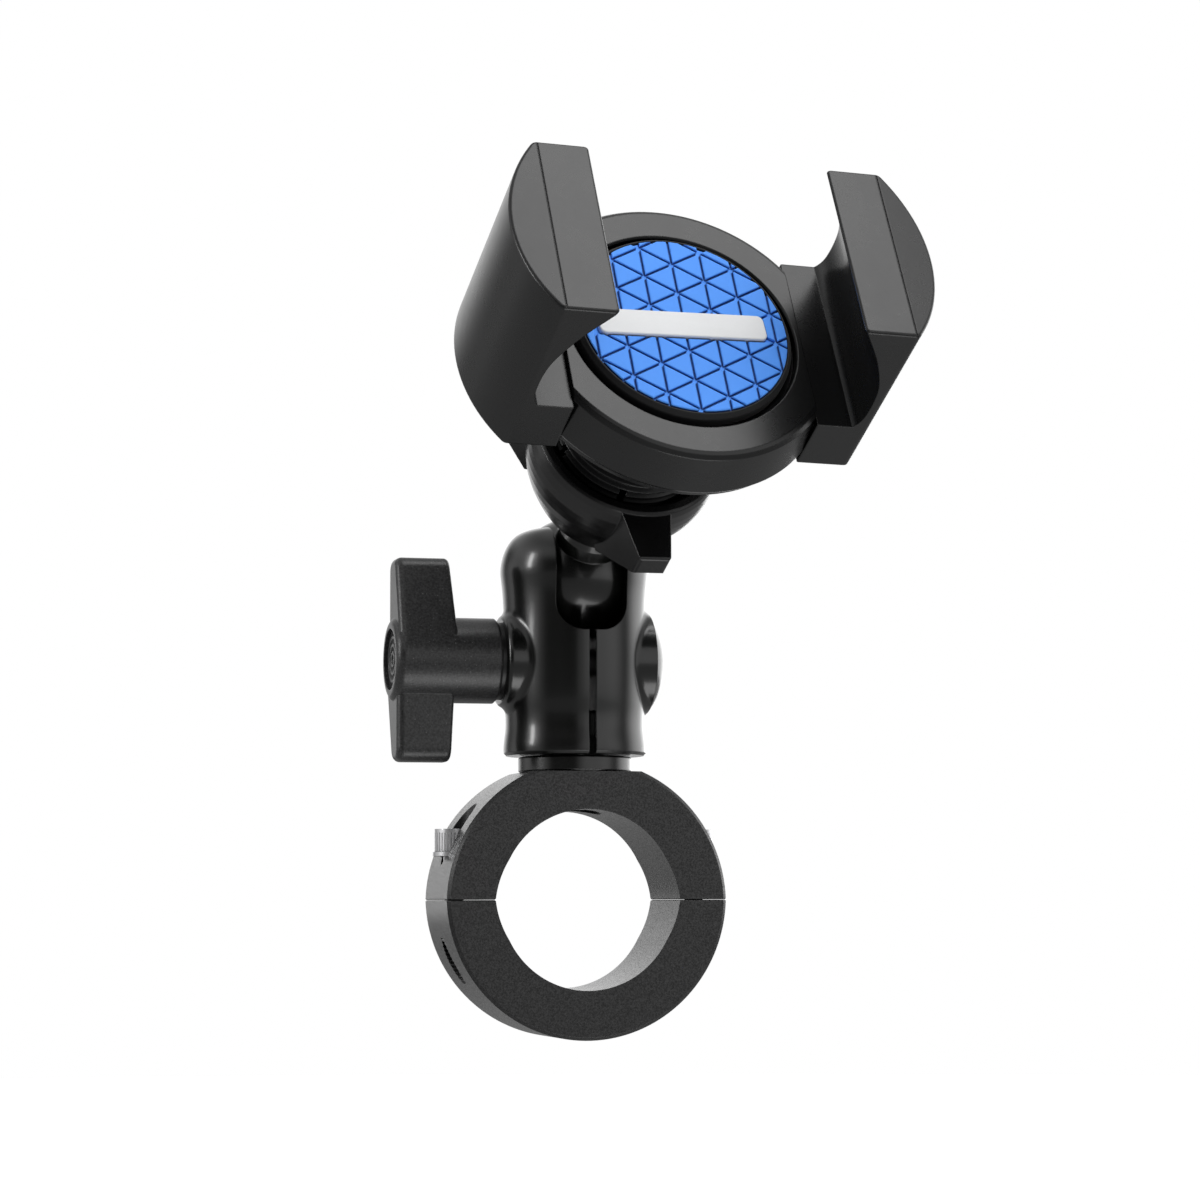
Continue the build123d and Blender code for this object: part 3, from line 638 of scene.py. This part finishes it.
def build_bar():
    """White bar with rolled edges, rounded ends and a flat top."""
    bm = bmesh.new()
    rows = []
    for distance, z in BAR_STEPS:
        outline = rounded_rect(BAR_W - BAR_PLAY - 2 * distance, BAR_H - BAR_PLAY - 2 * distance,
                               max(BAR_CORNER_MIN, BAR_CORNER - distance))
        rows.append([bm.verts.new((*(BAR_CENTRE + BAR_LONG * x + BAR_SHORT * y), z))
                     for x, y in outline])
    add_walls(bm, rows)
    bm.faces.new(rows[-1])
    bm.faces.new(rows[0][::-1])
    add_piece("pad_bar_soft", bm, "pad_bar")


build_rim()
build_grip_pad()
build_bar()

# ---------------------------------------------------------------------------
# Floor: pale to the camera, a dimmer table to the object, clear from beneath
# ---------------------------------------------------------------------------
FLOOR_R = 6.0                     # metres
FLOOR_DROP = 0.32                 # metres below the product
FLOOR_NEAR, FLOOR_FAR = 0.13, 0.09    # glow of the table by the product and far away


def floor_material():
    material = bpy.data.materials.new("floor")
    material.use_nodes = True
    t = Tree(material.node_tree)
    white = t.new("ShaderNodeBsdfDiffuse", {"Color": rgba(grey(0.94))})
    glow = t.new("ShaderNodeEmission", {"Strength": 0.62})
    pale = t.add_shaders(white.outputs[0], glow.outputs[0])

    dim = t.new("ShaderNodeBsdfDiffuse", {"Color": rgba(grey(0.30))})
    distance = t.vector("LENGTH", t.new("ShaderNodeTexCoord").outputs["Object"])
    near = t.ramp(distance, span=(0.30, 0.80), to=(1.0, 0.0))
    near_glow = t.scale(grey(FLOOR_NEAR), near)
    far_glow = t.scale(grey(FLOOR_FAR), t.subtract(1.0, near))
    low_glow = t.new("ShaderNodeEmission", {"Color": t.vector("ADD", near_glow, far_glow)})
    table = t.add_shaders(dim.outputs[0], low_glow.outputs[0])

    to_camera = t.new("ShaderNodeLightPath").outputs["Is Camera Ray"]
    seen = t.mix_shaders(to_camera, table, pale)
    clear = t.new("ShaderNodeBsdfTransparent").outputs[0]
    beneath = t.new("ShaderNodeNewGeometry").outputs["Backfacing"]
    t.new("ShaderNodeOutputMaterial", {"Surface": t.mix_shaders(beneath, seen, clear)})
    return material


def build_floor():
    bm = bmesh.new()
    bmesh.ops.create_circle(bm, cap_ends=True, segments=96, radius=FLOOR_R)
    mesh = bpy.data.meshes.new("floor")
    bm.to_mesh(mesh)
    bm.free()
    floor = bpy.data.objects.new("floor", mesh)
    floor.location = (0, 0, cad_lo.z - FLOOR_DROP)
    scene.collection.objects.link(floor)
    mesh.materials.append(floor_material())


build_floor()

# ---------------------------------------------------------------------------
# World: white to the camera, a studio of soft-edged zones to the object
# ---------------------------------------------------------------------------
# brightness of 45-degree sectors, anticlockwise seen from above, from the camera's side
SECTORS = (0.03, 1.00, 0.20, 2.10, 1.20, 0.12, 0.65, 0.05)
RAISED = 0.70      # band above the sectors
OVERHEAD = 0.72


def build_world():
    world = bpy.data.worlds.new("studio")
    scene.world = world
    world.use_nodes = True
    t = Tree(world.node_tree)
    direction = t.new("ShaderNodeTexCoord").outputs["Generated"]
    height = t.vector("DOT_PRODUCT", direction, (0, 0, 1))
    low = t.ramp(height, span=(0.65, 0.35))
    zones = []
    for k, brightness in enumerate(SECTORS):
        a = math.radians(45 * k)
        centre = LEVEL_RIGHT * math.sin(a) - LEVEL_FORWARD * math.cos(a)
        facing = t.vector("DOT_PRODUCT", direction, tuple(centre))
        zones.append((brightness, t.multiply(t.ramp(facing, span=(0.70, 0.96)), low)))
    band = t.multiply(t.ramp(height, span=(0.30, 0.55)), t.ramp(height, span=(0.85, 0.60)))
    zones.append((RAISED, band))
    zones.append((OVERHEAD, t.ramp(height, span=(0.60, 0.95))))
    total = None
    for brightness, amount in zones:
        light = t.scale(grey(brightness), amount)
        total = light if total is None else t.vector("ADD", total, light)
    studio = t.new("ShaderNodeBackground", {"Color": total, "Strength": 1.0})
    white = t.new("ShaderNodeBackground", {"Color": (1, 1, 1, 1), "Strength": 1.0})
    to_camera = t.new("ShaderNodeLightPath").outputs["Is Camera Ray"]
    surface = t.mix_shaders(to_camera, studio.outputs[0], white.outputs[0])
    t.new("ShaderNodeOutputWorld", {"Surface": surface})


build_world()


# ---------------------------------------------------------------------------
# Softboxes, in metres and watts
# ---------------------------------------------------------------------------
def softbox(name, place, size, power, target=(0.0, -0.02, 0.05)):
    """Area light placed by (right, up, towards the camera) from the origin."""
    data = bpy.data.lights.new(name, "AREA")
    data.shape = "RECTANGLE"
    data.size, data.size_y = size
    data.energy = power
    light = bpy.data.objects.new(name, data)
    right, up, towards = place
    spot = LEVEL_RIGHT * right + Vector((0, 0, 1)) * up - LEVEL_FORWARD * towards
    light.location = spot
    light.rotation_euler = (Vector(target) - spot).to_track_quat("-Z", "Y").to_euler()
    scene.collection.objects.link(light)
    return light


softbox("top_box", place=(0.30, 0.82, 0.22), size=(0.46, 0.46), power=2.00)
softbox("left_strip", place=(-0.73, 0.29, 0.22), size=(0.10, 0.34), power=1.50)
softbox("under_box", place=(0.12, cad_lo.z - 0.30, 0.15), size=(0.34, 0.28), power=0.85)
# a little extra light that only the soft parts of the phone rest receive
pad_fill = softbox("pad_fill", place=(0.12, 0.42, 0.34), size=(0.30, 0.30), power=0.62,
                   target=(0.0046, -0.053, 0.093))
pad_only = bpy.data.collections.new("pad_only")
for name in ("pad_rim_soft", "grip_pad_soft", "pad_bar_soft"):
    pad_only.objects.link(bpy.data.objects[name])
pad_fill.light_linking.receiver_collection = pad_only
for obj in scene.objects:
    if obj.type == "LIGHT":
        obj.visible_camera = False
